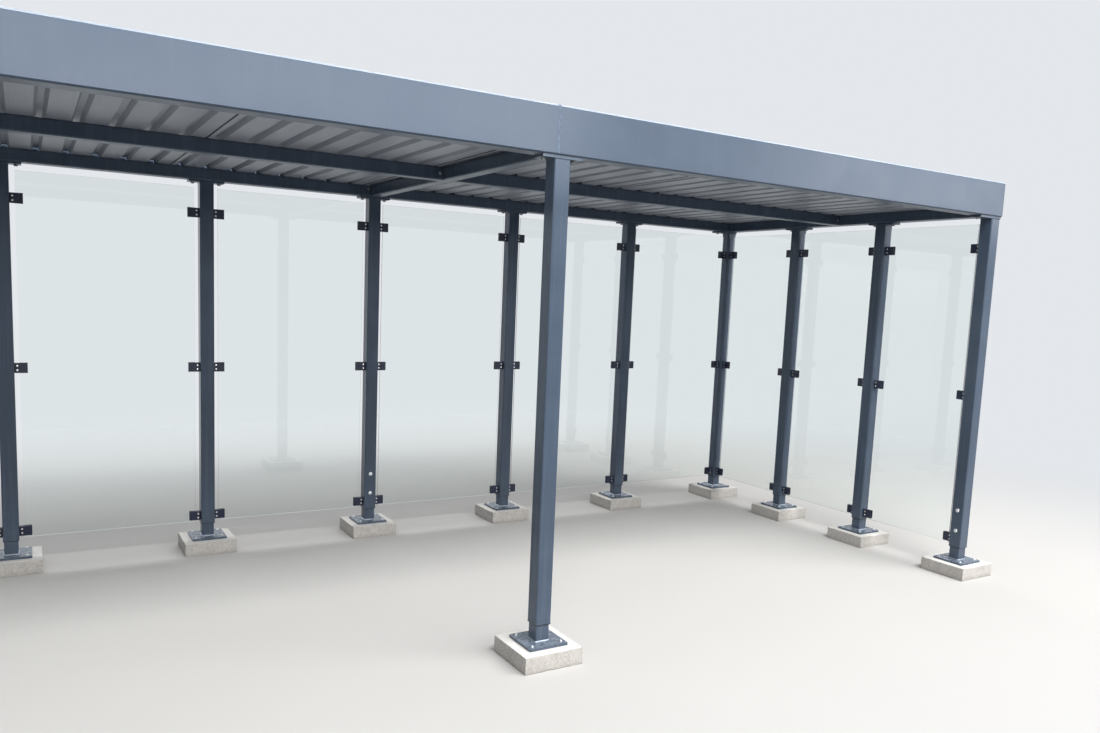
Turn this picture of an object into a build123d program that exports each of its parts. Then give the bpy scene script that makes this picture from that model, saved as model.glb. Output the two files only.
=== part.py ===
"""Open-fronted bike shelter: a flat-roofed steel frame of two bays.

Square posts slide over shorter tubes that stand on concrete blocks, so the frame can be
levelled. Clear glass closes the back and both ends, a ribbed steel sheet lies on the beams,
and a deep flat fascia runs round the roof.

Millimetres. The origin is on the ground under the middle of the shelter. X runs along the
shelter, the open front faces -Y, and Z is up.
"""

from build123d import *
import os

# Plan
bays = 2
panels_per_bay = 3            # glass panels along the back of one bay
side_panels = 3               # glass panels along one end
rear_post_spacing = 1045.0    # centre to centre along the back
side_post_spacing = 780.0     # centre to centre along an end

# Concrete blocks
block_size = 300.0
block_height = 80.0
block_arris = 5.0

# Adjustable feet: a square tube welded to a base plate
base_plate_size = 200.0
base_plate_thickness = 12.0
base_plate_corner = 6.0
anchor_spacing = 150.0
anchor_hole_radius = 7.0
foot_tube_size = 70.0
foot_tube_wall = 4.0
foot_tube_corner = 6.0
foot_tube_overlap = 300.0     # length of foot tube inside the post

# Posts: each slides over its foot tube, so its outside follows from that tube
post_wall = 4.7
post_corner = 7.0
tube_clearance = 0.3          # between the post and the foot tube inside it
post_bottom_height = 172.0
clear_height = 2250.0         # ground to the underside of the head plates
head_plate_length = base_plate_size   # cut from the same stock as the base plates
head_plate_thickness = 12.0
head_hole_spacing = 150.0
head_hole_radius = 7.0

# Roof frame
beam_width = 90.0             # beams that stand on the posts
inner_beam_width = 70.0       # middle rafter and purlins
beam_height = 70.0
beam_wall = 4.0
beam_corner = 6.0

# Roof sheet: flat pans with raised ribs, running from front to back
rib_pitch = 145.0
rib_base = 50.0
rib_top = 24.0
rib_height = 22.0
sheet_thickness = 1.0
ribs_per_sheet = 8
sheet_seam_x = -61.0          # one side joint between two sheets
sheet_edge_gap = 12.0         # sheet to the inside of the fascia

# Fascia: folded sheet on the outside of the outer beams
fascia_height = 203.0
fascia_rise = 5.0             # underside of the beams to the lower edge of the fascia
fascia_thickness = 3.0
fascia_top_return = 35.0
fascia_joint_x = -28.0        # joint between the two lengths, front and back

# Glass and its clamps
glass_thickness = 8.0
glass_arris = 1.0
glass_bottom_height = 180.0
glass_top_gap = 42.0          # glass to the underside of the beams
glass_side_gap = 27.0         # glass to the side of the post
clamp_length = 63.0
clamp_height = 56.0
clamp_depth = 28.0
clamp_corner = 4.0
clamp_clearance = 0.3         # between the glass and the slot that holds it
bottom_clamp_rise = 38.0      # glass edge to the middle of the lowest clamp
top_clamp_drop = 149.0        # glass edge to the middle of the highest clamp

# Places that follow from the sizes above
bay_length = panels_per_bay * rear_post_spacing
half_length = bays * bay_length / 2
half_depth = side_panels * side_post_spacing / 2
plate_top = block_height + base_plate_thickness
beam_bottom = clear_height + head_plate_thickness
beam_top = beam_bottom + beam_height
post_size = foot_tube_size + 2 * (tube_clearance + post_wall)
outer_face = beam_width / 2   # post line to the outside of the outer beams
fascia_bottom = beam_bottom + fascia_rise
glass_top = beam_bottom - glass_top_gap
low_clamp = glass_bottom_height + bottom_clamp_rise
high_clamp = glass_top - top_clamp_drop
clamp_heights = [low_clamp, (low_clamp + high_clamp) / 2, high_clamp]

front_post_x = [i * bay_length - half_length for i in range(bays + 1)]
rear_post_x = [i * rear_post_spacing - half_length for i in range(bays * panels_per_bay + 1)]
side_post_y = [i * side_post_spacing - half_depth for i in range(1, side_panels)]

os.makedirs("parts", exist_ok=True)


def save(part, name):
    """Label a finished piece and write it under the same name."""
    part.label = name
    export_step(part, f"parts/{name}.step")


# Concrete blocks, with a small chamfer round the top edge
with BuildPart() as block:
    Box(block_size, block_size, block_height, align=(Align.CENTER, Align.CENTER, Align.MIN))
    chamfer(block.edges().group_by(Axis.Z)[-1], length=block_arris)

# One foot: base plate with four anchor holes, and the tube welded to its middle
with BuildPart() as foot:
    with BuildSketch(Plane.XY.offset(block_height)):
        RectangleRounded(base_plate_size, base_plate_size, base_plate_corner)
        with GridLocations(anchor_spacing, anchor_spacing, 2, 2):
            Circle(anchor_hole_radius, mode=Mode.SUBTRACT)
    extrude(amount=base_plate_thickness)
    with BuildSketch(Plane.XY.offset(plate_top)):
        RectangleRounded(foot_tube_size, foot_tube_size, foot_tube_corner)
        foot_bore = foot_tube_size - 2 * foot_tube_wall
        Rectangle(foot_bore, foot_bore, mode=Mode.SUBTRACT)
    extrude(amount=post_bottom_height + foot_tube_overlap - plate_top)

# Blocks and feet stand in rows under the posts
foot_rows = {
    "front": [(x, -half_depth) for x in front_post_x],
    "rear": [(x, half_depth) for x in rear_post_x],
    "side": [(x, y) for x in (-half_length, half_length) for y in side_post_y],
}
for row, places in foot_rows.items():
    with BuildPart() as block_row:
        with Locations(*places):
            add(block.part)
    save(block_row.part, f"{row}_concrete_blocks")
    with BuildPart() as foot_row:
        with Locations(*places):
            add(foot.part)
    save(foot_row.part, f"{row}_adjustable_feet")


def post(head_size, head_shift):
    """Return one post: a square tube with its head plate, standing at the origin.

    head_size is the plate's length and width, and head_shift moves its middle off the post's.
    """
    with BuildPart() as tube:
        with BuildSketch(Plane.XY.offset(post_bottom_height)):
            RectangleRounded(post_size, post_size, post_corner)
            post_bore = post_size - 2 * post_wall
            Rectangle(post_bore, post_bore, mode=Mode.SUBTRACT)
        extrude(amount=clear_height - post_bottom_height)
        with BuildSketch(Plane.XY.offset(clear_height)):
            with Locations((head_shift, 0)):
                Rectangle(*head_size)
                with GridLocations(head_hole_spacing, 1, 2, 1):
                    Circle(head_hole_radius, mode=Mode.SUBTRACT)
        extrude(amount=head_plate_thickness)
    return tube.part


# At a corner the head plate stops flush with the outside of the beams
plain_post = post((head_plate_length, post_size), 0)
corner_shift = head_plate_length / 2 - outer_face
corner_post_left = post((head_plate_length, post_size), corner_shift)
corner_post_right = post((head_plate_length, post_size), -corner_shift)


def place_post(piece, name, places, turn=0):
    """Put one or more copies of a post at (x, y) places, turned about Z, as one node."""
    with BuildPart() as standing:
        with Locations(*[Location((x, y, 0), (0, 0, turn)) for x, y in places]):
            add(piece)
    save(standing.part, name)


def post_for(index, count):
    """Choose the post for a place in a row: the first and last stand at corners."""
    if index == 0:
        return corner_post_left
    if index == count - 1:
        return corner_post_right
    return plain_post


for i, x in enumerate(front_post_x):
    place_post(post_for(i, len(front_post_x)), f"front_post_{i + 1}", [(x, -half_depth)])
for i, x in enumerate(rear_post_x):
    place_post(post_for(i, len(rear_post_x)), f"rear_post_{i + 1}", [(x, half_depth)])
for side, x in (("left", -half_length), ("right", half_length)):
    place_post(plain_post, f"{side}_side_posts", [(x, y) for y in side_post_y], turn=90)


def beam(name, start, end, width):
    """Write one rectangular tube that lies level from start to end, both (x, y) places."""
    along = Vector(end[0] - start[0], end[1] - start[1], 0)
    section = Plane(
        origin=(start[0], start[1], beam_bottom + beam_height / 2),
        x_dir=along.rotate(Axis.Z, -90),
        z_dir=along,
    )
    with BuildPart() as tube:
        with BuildSketch(section):
            RectangleRounded(width, beam_height, beam_corner)
            Rectangle(width - 2 * beam_wall, beam_height - 2 * beam_wall, mode=Mode.SUBTRACT)
        extrude(amount=along.length)
    save(tube.part, name)


# Front and rear beams run through, one length a bay. End beams and rafters fit between them.
half_beam = beam_width / 2
half_inner = inner_beam_width / 2
beam_ends = list(front_post_x)
beam_ends[0] -= outer_face
beam_ends[-1] += outer_face
bay_names = ["left", "right"] if bays == 2 else [str(i + 1) for i in range(bays)]
for bay, x0, x1 in zip(bay_names, beam_ends, beam_ends[1:]):
    beam(f"front_beam_{bay}", (x0, -half_depth), (x1, -half_depth), beam_width)
    beam(f"rear_beam_{bay}", (x0, half_depth), (x1, half_depth), beam_width)

rafter_reach = half_depth - half_beam
for side, x in (("left", -half_length), ("right", half_length)):
    beam(f"{side}_end_beam", (x, -rafter_reach), (x, rafter_reach), beam_width)
for i, x in enumerate(front_post_x[1:-1]):
    name = "middle_rafter" if bays == 2 else f"middle_rafter_{i + 1}"
    beam(name, (x, -rafter_reach), (x, rafter_reach), inner_beam_width)

# One purlin a bay, halfway between front and back
for i, bay in enumerate(bay_names):
    x0 = front_post_x[i] + (half_beam if i == 0 else half_inner)
    x1 = front_post_x[i + 1] - (half_beam if i == bays - 1 else half_inner)
    beam(f"purlin_{bay}", (x0, 0), (x1, 0), inner_beam_width)

# Roof sheets. Every rib is a trapezium, and its left foot stands at a whole number of
# pitches from the chosen side joint.
roof_half_x = half_length + outer_face - sheet_edge_gap
roof_half_y = half_depth + outer_face - sheet_edge_gap
rib_flank = (rib_base - rib_top) / 2
rib_points = [
    (0, 0),
    (rib_flank, rib_height),
    (rib_flank + rib_top, rib_height),
    (rib_base, 0),
    (rib_pitch, 0),
]


def sheet_rise(x):
    """Height of the sheet's underside above the beams at x."""
    u = (x - sheet_seam_x) % rib_pitch
    for (u0, z0), (u1, z1) in zip(rib_points, rib_points[1:]):
        if u <= u1:
            return z0 + (z1 - z0) * (u - u0) / (u1 - u0)
    return 0.0


def sheet_corners(x0, x1):
    """Corners of the underside between two joints, as (x, z) from left to right."""
    first_rib = int((x0 - sheet_seam_x) // rib_pitch)
    last_rib = int((x1 - sheet_seam_x) // rib_pitch)
    bends = [
        sheet_seam_x + rib * rib_pitch + u
        for rib in range(first_rib, last_rib + 1)
        for u, _ in rib_points[:-1]
    ]
    shortest_run = sheet_thickness
    inside = [x for x in bends if x0 + shortest_run < x < x1 - shortest_run]
    return [(x, beam_top + sheet_rise(x)) for x in [x0, *inside, x1]]


sheet_cover = ribs_per_sheet * rib_pitch
first_joint = int((-roof_half_x - sheet_seam_x) // sheet_cover) + 1
joints = []
joint_x = sheet_seam_x + first_joint * sheet_cover
while joint_x < roof_half_x:
    joints.append(joint_x)
    joint_x += sheet_cover
sheet_edges = [-roof_half_x, *joints, roof_half_x]

for i, (x0, x1) in enumerate(zip(sheet_edges, sheet_edges[1:])):
    under = sheet_corners(x0, x1)
    over = [(x, z + sheet_thickness) for x, z in reversed(under)]
    with BuildPart() as sheet:
        with BuildSketch(Plane.XZ.offset(-roof_half_y)):
            with BuildLine():
                Polyline(*under, *over, close=True)
            make_face()
        extrude(amount=2 * roof_half_y)
    save(sheet.part, f"roof_sheet_{i + 1}")


def side_plane(direction, height):
    """Plane at a height whose X runs along one side of the roof, with the outside at -Y."""
    return Plane(origin=(0, 0, height), x_dir=direction, z_dir=(0, 0, 1))


def fascia(name, direction, face, start, end, mitre_start, mitre_end):
    """Write one length of fascia: an upright sheet with a narrow flange turned in at its top.

    face is the distance from the middle of the shelter to the sheet's inner face. start and
    end are the inner ends of the length, and a mitred end grows outwards at 45 degrees.
    """

    def plan(depth_out, depth_in):
        """Corners of a strip that reaches out and in from the inner face."""
        grow_out = (depth_out * mitre_start, depth_out * mitre_end)
        grow_in = (depth_in * mitre_start, depth_in * mitre_end)
        return [
            (start - grow_out[0], -face - depth_out),
            (end + grow_out[1], -face - depth_out),
            (end - grow_in[1], -face + depth_in),
            (start + grow_in[0], -face + depth_in),
        ]

    with BuildPart() as length:
        with BuildSketch(side_plane(direction, fascia_bottom)):
            with BuildLine():
                Polyline(*plan(fascia_thickness, 0), close=True)
            make_face()
        extrude(amount=fascia_height)
        top = fascia_bottom + fascia_height
        with BuildSketch(side_plane(direction, top - fascia_thickness)):
            with BuildLine():
                Polyline(*plan(fascia_thickness, fascia_top_return), close=True)
            make_face()
        extrude(amount=fascia_thickness)
    save(length.part, name)


# Fascia round the roof, mitred at the corners, in two lengths at the front and the back
long_face = half_depth + outer_face
end_face = half_length + outer_face
right = (1, 0, 0)
left = (-1, 0, 0)
back = (0, 1, 0)
front = (0, -1, 0)
fascia("front_fascia_left", right, long_face, -end_face, fascia_joint_x, 1, 0)
fascia("front_fascia_right", right, long_face, fascia_joint_x, end_face, 0, 1)
fascia("rear_fascia_right", left, long_face, -end_face, -fascia_joint_x, 1, 0)
fascia("rear_fascia_left", left, long_face, -fascia_joint_x, end_face, 0, 1)
fascia("right_fascia", back, end_face, -long_face, long_face, 1, 1)
fascia("left_fascia", front, end_face, -long_face, long_face, 1, 1)


def glass_row(name, spacing, places, turn):
    """Write a row of glass panels centred at (x, y) places, as one node."""
    width = spacing - post_size - 2 * glass_side_gap
    with BuildPart() as panel:
        with BuildSketch(Plane.XY.offset(glass_bottom_height)):
            Rectangle(width, glass_thickness)
        extrude(amount=glass_top - glass_bottom_height)
        chamfer(panel.edges().filter_by(Axis.Y, reverse=True), length=glass_arris)
    with BuildPart() as row:
        with Locations(*[Location((x, y, 0), (0, 0, turn)) for x, y in places]):
            add(panel.part)
    save(row.part, name)


# Glass: three panels a bay along the back, and three along each end
rear_panel_x = [(a + b) / 2 for a, b in zip(rear_post_x, rear_post_x[1:])]
for i, bay in enumerate(bay_names):
    in_bay = rear_panel_x[i * panels_per_bay:(i + 1) * panels_per_bay]
    glass_row(f"rear_glass_{bay}", rear_post_spacing, [(x, half_depth) for x in in_bay], 0)
side_panel_y = [(i + 0.5) * side_post_spacing - half_depth for i in range(side_panels)]
for side, x in (("left", -half_length), ("right", half_length)):
    glass_row(f"{side}_glass", side_post_spacing, [(x, y) for y in side_panel_y], 90)

# One glass clamp, with its back on the post's side and its slot towards +X
slot_depth = clamp_length - glass_side_gap + clamp_clearance
with BuildPart() as clamp:
    with BuildSketch(Plane.YZ.offset(post_size / 2)):
        RectangleRounded(clamp_depth, clamp_height, clamp_corner)
    extrude(amount=clamp_length)
    with Locations((post_size / 2 + clamp_length, 0, 0)):
        Box(
            slot_depth,
            glass_thickness + 2 * clamp_clearance,
            clamp_height,
            align=(Align.MAX, Align.CENTER, Align.CENTER),
            mode=Mode.SUBTRACT,
        )


def clamp_row(name, places):
    """Write clamps at (x, y, turn) places, at every clamp height, as one node."""
    spots = [Location((x, y, z), (0, 0, turn)) for x, y, turn in places for z in clamp_heights]
    with BuildPart() as clamps:
        with Locations(*spots):
            add(clamp.part)
    save(clamps.part, name)


towards_right = [(x, half_depth, 0) for x in rear_post_x[:-1]]
towards_left = [(x, half_depth, 180) for x in rear_post_x[1:]]
clamp_row("rear_glass_clamps", towards_right + towards_left)

end_row_y = [-half_depth, *side_post_y, half_depth]
for side, x in (("left", -half_length), ("right", half_length)):
    towards_back = [(x, y, 90) for y in end_row_y[:-1]]
    towards_front = [(x, y, -90) for y in end_row_y[1:]]
    clamp_row(f"{side}_glass_clamps", towards_back + towards_front)
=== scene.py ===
# %% [markdown]
# # A bike shelter of steel, glass and concrete
# This lesson dresses a bike shelter of two bays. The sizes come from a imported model, and every
# piece built here is fitted to that model's boxes. We work in metres, with X along the shelter,
# the open front towards -Y, and Z up. Each step is a short cell that prints what it made.

import math

import bmesh
import bpy
from mathutils import Matrix, Vector


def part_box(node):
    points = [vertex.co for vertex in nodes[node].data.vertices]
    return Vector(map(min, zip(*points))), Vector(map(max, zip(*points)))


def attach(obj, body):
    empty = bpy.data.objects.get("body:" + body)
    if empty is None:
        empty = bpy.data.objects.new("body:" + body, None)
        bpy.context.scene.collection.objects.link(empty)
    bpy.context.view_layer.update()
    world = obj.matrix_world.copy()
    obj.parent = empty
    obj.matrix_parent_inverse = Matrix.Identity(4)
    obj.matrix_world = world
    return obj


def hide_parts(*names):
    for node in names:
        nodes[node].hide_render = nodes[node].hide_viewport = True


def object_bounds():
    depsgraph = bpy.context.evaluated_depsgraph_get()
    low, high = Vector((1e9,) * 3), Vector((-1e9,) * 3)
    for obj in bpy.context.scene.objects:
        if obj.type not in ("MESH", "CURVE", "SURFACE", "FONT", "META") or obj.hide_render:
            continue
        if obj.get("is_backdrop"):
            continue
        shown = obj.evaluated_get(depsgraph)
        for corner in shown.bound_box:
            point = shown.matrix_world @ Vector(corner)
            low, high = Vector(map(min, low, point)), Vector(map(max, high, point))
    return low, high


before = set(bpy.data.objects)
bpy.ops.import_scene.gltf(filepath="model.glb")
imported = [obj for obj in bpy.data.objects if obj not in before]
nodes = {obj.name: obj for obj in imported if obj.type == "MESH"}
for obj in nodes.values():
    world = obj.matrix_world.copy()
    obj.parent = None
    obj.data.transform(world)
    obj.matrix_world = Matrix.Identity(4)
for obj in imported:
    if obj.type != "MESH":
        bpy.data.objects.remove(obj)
cad_low, cad_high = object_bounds()
mm = 0.001
print("nodes", len(nodes), "size", [round(v, 3) for v in cad_high - cad_low])

# %% [markdown]
# ## Colours and nodes
# Colours are written as sRGB hex codes, because that is how paint charts and photographs give
# them, but Blender's sockets hold linear light. One function turns the first into the second.
# Every node tree here is built with one function too. It adds a node, sets its properties and
# feeds its inputs. An input is named by its label or its number, and is fed with a plain value,
# a hex colour, another node's output, or a whole node, which stands for its first output.


# %% The two functions
def linear(hex_code):
    """Turn an sRGB hex colour into linear red, green, blue and alpha."""
    channels = [int(hex_code[i:i + 2], 16) / 255 for i in (1, 3, 5)]
    return [c / 12.92 if c <= 0.04045 else ((c + 0.055) / 1.055) ** 2.4 for c in channels] + [1.0]


def add_node(tree, kind, feed=None, **settings):
    """Add a node to a tree, set its properties, and feed its inputs."""
    node = tree.nodes.new(kind)
    for name, value in settings.items():
        setattr(node, name, value)
    for key, source in (feed or {}).items():
        named = [s for s in node.inputs if s.enabled and s.name == key]
        socket = named[0] if named else node.inputs[key]
        if isinstance(source, bpy.types.Node):
            source = next(s for s in source.outputs if s.enabled)
        if isinstance(source, bpy.types.NodeSocket):
            tree.links.new(source, socket)
        elif isinstance(source, str) and source.startswith("#"):
            socket.default_value = linear(source)
        else:
            socket.default_value = source
    return node


in_colour = {"data_type": "RGBA"}
smoothly = {"interpolation_type": "SMOOTHSTEP"}
print("anthracite in linear light", [round(c, 3) for c in linear("#383E42")])

# %% [markdown]
# ## Where everything stands
# The posts stand in three rows: along the front, along the back, and within each end. Their
# places can be read off the boxes of the concrete blocks, whose middles are the post lines.
# Reading them from the model keeps every bolt over its hole if the model changes.

# %% Post lines
block_low, block_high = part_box("front_concrete_blocks")
half_block = (block_high.y - block_low.y) / 2
half_length = block_high.x - half_block
half_depth = -(block_low.y + half_block)
side_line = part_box("side_concrete_blocks")[1].y - half_block
front_count = 3
rear_count = 7


def spread(low, high, count):
    """Evenly spaced places from low to high."""
    return [low + (high - low) * i / (count - 1) for i in range(count)]


front_posts = [(x, -half_depth) for x in spread(-half_length, half_length, front_count)]
rear_posts = [(x, half_depth) for x in spread(-half_length, half_length, rear_count)]
side_posts = [(x, y) for x in (-half_length, half_length) for y in (-side_line, side_line)]
all_posts = front_posts + rear_posts + side_posts
print("posts", len(all_posts), "half length", round(half_length, 4), "half depth", round(half_depth, 4))

# %% Heights
block_top = block_high.z
plate_thickness = 12 * mm
plate_top = block_top + plate_thickness
foot_tube = 70 * mm
post_size = 80 * mm
half_post = post_size / 2
head_plate = 12 * mm
clear_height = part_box("front_post_2")[1].z - head_plate
beam_bottom, beam_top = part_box("front_beam_left")[0].z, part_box("front_beam_left")[1].z
print("plate top", round(plate_top, 4), "clear height", round(clear_height, 4))
print("beams from", round(beam_bottom, 4), "to", round(beam_top, 4))

# %% [markdown]
# ## Materials
# Each material starts from what the real one is. A function makes an empty material and hands
# back its tree and the object coordinates. Since every piece keeps its place in its mesh, object
# coordinates are metres in the shelter's own frame, so a noise whose blotches are 160 mm across
# has a scale of one over 0.16. Three more functions hold the steps that most finishes share:
# reading a face's height and slope, chaining sums, and laying one colour over another.


# %% Start a material
def new_material(name):
    """Make an empty material, and return it with its tree and the object coordinates."""
    material = bpy.data.materials.new(name)
    material.use_nodes = True
    material.node_tree.nodes.clear()
    place = add_node(material.node_tree, "ShaderNodeTexCoord").outputs["Object"]
    return material, material.node_tree, place


# %% Steps that most finishes share
maths = "ShaderNodeMath"
vector_maths = "ShaderNodeVectorMath"


def height_and_slope(tree, place):
    """Height above the ground, and a face's slope: 1 looks straight up, -1 straight down."""
    normal = add_node(tree, "ShaderNodeNewGeometry").outputs["Normal"]
    return [add_node(tree, "ShaderNodeSeparateXYZ", {"Vector": v}).outputs["Z"] for v in (place, normal)]


def in_turn(tree, kind, result, *steps):
    """Chain sums, each on the last one's result. A step is an operation and its other inputs."""
    for operation, *others in steps:
        result = add_node(tree, kind, dict(enumerate([result, *others])), operation=operation)
    return result


def laid_over(tree, paint, colour, amount):
    """Lay a colour over the paint. amount feeds the Map Range that says how much of it, 0 to 1."""
    share = add_node(tree, "ShaderNodeMapRange", amount, **smoothly)
    return add_node(tree, "ShaderNodeMix", {"Factor": share, "A": paint, "B": colour}, **in_colour)


# %% [markdown]
# ### Anthracite powder coat
# The steel is powder coated: dry paint powder is baked on, which leaves a satin skin with a very
# fine orange peel. The real peel is about a millimetre across, too fine for this picture, so it
# is drawn at 5 mm. The coat is nearly even in colour. A film of dust settles on the last few
# hand widths above the ground, and on faces that look up, where the pale film is also a painted
# sheen of the bright sky. Rain leaves faint streaks. Faces that look down get the powder last and
# thinnest, so the undersides of the beams are duller. The folded fascia is thin sheet, so it gets
# a slow, shallow waviness as well, which is what bends the reflections on a real one. Its top
# bend gets a painted highlight: a pale rim along the roof where the bend catches the sky, while
# the level flange behind it keeps its colour.


# %% Powder coat
def powder_coat(name, streaks, sheet_waves=0.0, painted_bend_highlight=0.0):
    """Satin anthracite powder coat.

    streaks is how strong the rain's streaks are, and the last argument how strong the painted highlight on
    a sheet's top bend is, both from 0 to 1, and sheet_waves is the height of the sheet's slow waviness.
    """
    material, tree, place = new_material(name)
    height, slope = height_and_slope(tree, place)
    cloud = add_node(tree, "ShaderNodeTexNoise", {"Vector": place, "Scale": 1 / (160 * mm), "Detail": 4})
    paint = add_node(tree, "ShaderNodeMix", {"Factor": cloud, "A": "#3D4857", "B": "#4A5666"}, **in_colour)

    # Rain streaks are noise drawn out down the face
    drawn_out = add_node(tree, "ShaderNodeVectorMath", {0: place, 1: (1, 1, 0.03)}, operation="MULTIPLY")
    streak = add_node(tree, "ShaderNodeTexNoise", {"Vector": drawn_out, "Scale": 1 / (22 * mm)})
    amount = {"Value": streak, "From Min": 0.45, "From Max": 0.75, "To Max": streaks}
    paint = laid_over(tree, paint, "#828E9C", amount)

    # A film of dust lies on level faces and near the ground, thicker in some places. On level faces the
    # pale film is also a painted sheen of the sky.
    feed = {"Vector": place, "Scale": 1 / (28 * mm), "Detail": 5, "Roughness": 0.6}
    speck = add_node(tree, "ShaderNodeTexNoise", feed)
    speck, level_dust_and_sky_sheen, low_down = [add_node(tree, "ShaderNodeMapRange", feed, **smoothly) for feed in (
        {"Value": speck, "From Min": 0.35, "From Max": 0.7, "To Min": 0.4},
        {"Value": slope, "From Min": 0.7, "From Max": 0.95, "To Max": 0.35},
        {"Value": height, "From Min": 420 * mm, "From Max": 110 * mm, "To Max": 0.07},
    )]
    dust_and_sky_sheen = in_turn(tree, maths, level_dust_and_sky_sheen, ("MAXIMUM", low_down), ("MULTIPLY", speck))
    # Pale film: dust, and on faces that look up also a painted sheen of the sky
    paint = add_node(tree, "ShaderNodeMix", {"Factor": dust_and_sky_sheen, "A": paint, "B": "#9FA9B3"}, **in_colour)

    # Painted highlight: the top bend is made pale where it would catch the sky, and the level flange is
    # left out
    if painted_bend_highlight:
        bend, not_level = [add_node(tree, "ShaderNodeMapRange", feed, **smoothly) for feed in (
            {"Value": slope, "From Min": 0.15, "From Max": 0.5, "To Max": painted_bend_highlight},
            {"Value": slope, "From Min": 0.995, "From Max": 0.97},
        )]
        bend_highlight = in_turn(tree, maths, bend, ("MULTIPLY", not_level))
        paint = add_node(tree, "ShaderNodeMix", {"Factor": bend_highlight, "A": paint, "B": "#A0ABBA"}, **in_colour)

    # The film of dust and painted sheen dulls the coat, and so does thin powder on faces that look down
    gloss, thin_coat = [add_node(tree, "ShaderNodeMapRange", feed, **smoothly) for feed in (
        {"Value": cloud, "From Min": 0.3, "From Max": 0.7, "To Min": 0.13, "To Max": 0.2},
        {"Value": slope, "From Min": -0.8, "From Max": -0.95, "To Max": 0.22},
    )]
    dulled = in_turn(tree, maths, dust_and_sky_sheen, ("MULTIPLY_ADD", 0.5, gloss), ("ADD", thin_coat))

    peel = add_node(tree, "ShaderNodeTexNoise", {"Vector": place, "Scale": 1 / (5 * mm), "Detail": 1})
    bump = add_node(tree, "ShaderNodeBump", {"Height": peel, "Distance": 0.02 * mm, "Strength": 0.5})
    if sheet_waves:
        feed = {"Vector": place, "Scale": 1 / (900 * mm), "Detail": 1}
        wave = add_node(tree, "ShaderNodeTexNoise", feed)
        bump = add_node(tree, "ShaderNodeBump", {"Height": wave, "Distance": sheet_waves, "Normal": bump})

    shader = add_node(tree, "ShaderNodeBsdfPrincipled", {
        "Base Color": paint, "Roughness": dulled, "Normal": bump, "IOR": 1.42, "Specular Tint": "#E6EFFC",
    })
    add_node(tree, "ShaderNodeOutputMaterial", {"Surface": shader})
    return material


coated_tube = powder_coat("powder_coated_steel_tube", 0.08)
# The folded sheet gets a painted highlight along its top bend
coated_sheet = powder_coat("powder_coated_folded_sheet", 0.015, sheet_waves=9 * mm, painted_bend_highlight=0.9)
print("made", coated_tube.name, "and", coated_sheet.name)

# %% [markdown]
# ### Roof sheet
# The ribbed roof sheet is coil coated: painted flat on a roll and bent afterwards, so the paint
# is thin, light grey and very even. Faint lines run along the sheet from the rolls. They are
# made with noise drawn out along Y, the way the ribs run.

# %% Coil-coated sheet
coil_coat, tree, place = new_material("coil_coated_roof_sheet")
drawn_out = add_node(tree, "ShaderNodeVectorMath", {0: place, 1: (1, 0.02, 1)}, operation="MULTIPLY")
feed = {"Vector": drawn_out, "Scale": 1 / (9 * mm), "Detail": 3}
roll_lines = add_node(tree, "ShaderNodeTexNoise", feed)
cloud = add_node(tree, "ShaderNodeTexNoise", {"Vector": place, "Scale": 1 / (350 * mm), "Detail": 3})
paint = add_node(tree, "ShaderNodeMix", {"Factor": cloud, "A": "#898D97", "B": "#989CA5"}, **in_colour)
amount = {"Value": roll_lines, "From Min": 0.5, "From Max": 0.75, "To Max": 0.25}
paint = laid_over(tree, paint, "#73777F", amount)
feed = {"Vector": place, "Scale": 1 / (60 * mm), "Detail": 6, "Roughness": 0.65}
stain = add_node(tree, "ShaderNodeTexNoise", feed)
amount = {"Value": stain, "From Min": 0.58, "From Max": 0.75, "To Max": 0.3}
paint = laid_over(tree, paint, "#6B6967", amount)
bump = add_node(tree, "ShaderNodeBump", {"Height": roll_lines, "Distance": 0.05 * mm, "Strength": 0.4})
feed = {"Base Color": paint, "Roughness": 0.42, "Normal": bump}
shader = add_node(tree, "ShaderNodeBsdfPrincipled", feed)
add_node(tree, "ShaderNodeOutputMaterial", {"Surface": shader})
print("made", coil_coat.name)

# %% [markdown]
# ### Cast concrete
# The blocks are cast concrete: pale cement with darker blotches where it stayed damp, fine sand,
# small stones of different tones, and round pores where air was trapped, painted dark as the
# shade inside them. Noise gives the blotches and the sand. Voronoi cells give the stones, each
# cell with a tone of its own, and larger cells give the pores. Level tops are rinsed pale by
# rain, and the lowest part is a little darker from ground moisture.

# %% Concrete: heights, directions and grains
concrete, tree, place = new_material("cast_concrete")
height, slope = height_and_slope(tree, place)
feed = {"Vector": place, "Scale": 1 / (60 * mm), "Detail": 6, "Roughness": 0.6}
blotch = add_node(tree, "ShaderNodeTexNoise", feed)
feed = {"Vector": place, "Scale": 1 / (4 * mm), "Detail": 3, "Roughness": 0.7}
sand = add_node(tree, "ShaderNodeTexNoise", feed)
stones = add_node(tree, "ShaderNodeTexVoronoi", {"Vector": place, "Scale": 1 / (5.5 * mm)})
tone = add_node(tree, "ShaderNodeSeparateXYZ", {"Vector": stones.outputs["Color"]})
pores = add_node(tree, "ShaderNodeTexVoronoi", {"Vector": place, "Scale": 1 / (17 * mm)})

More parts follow.
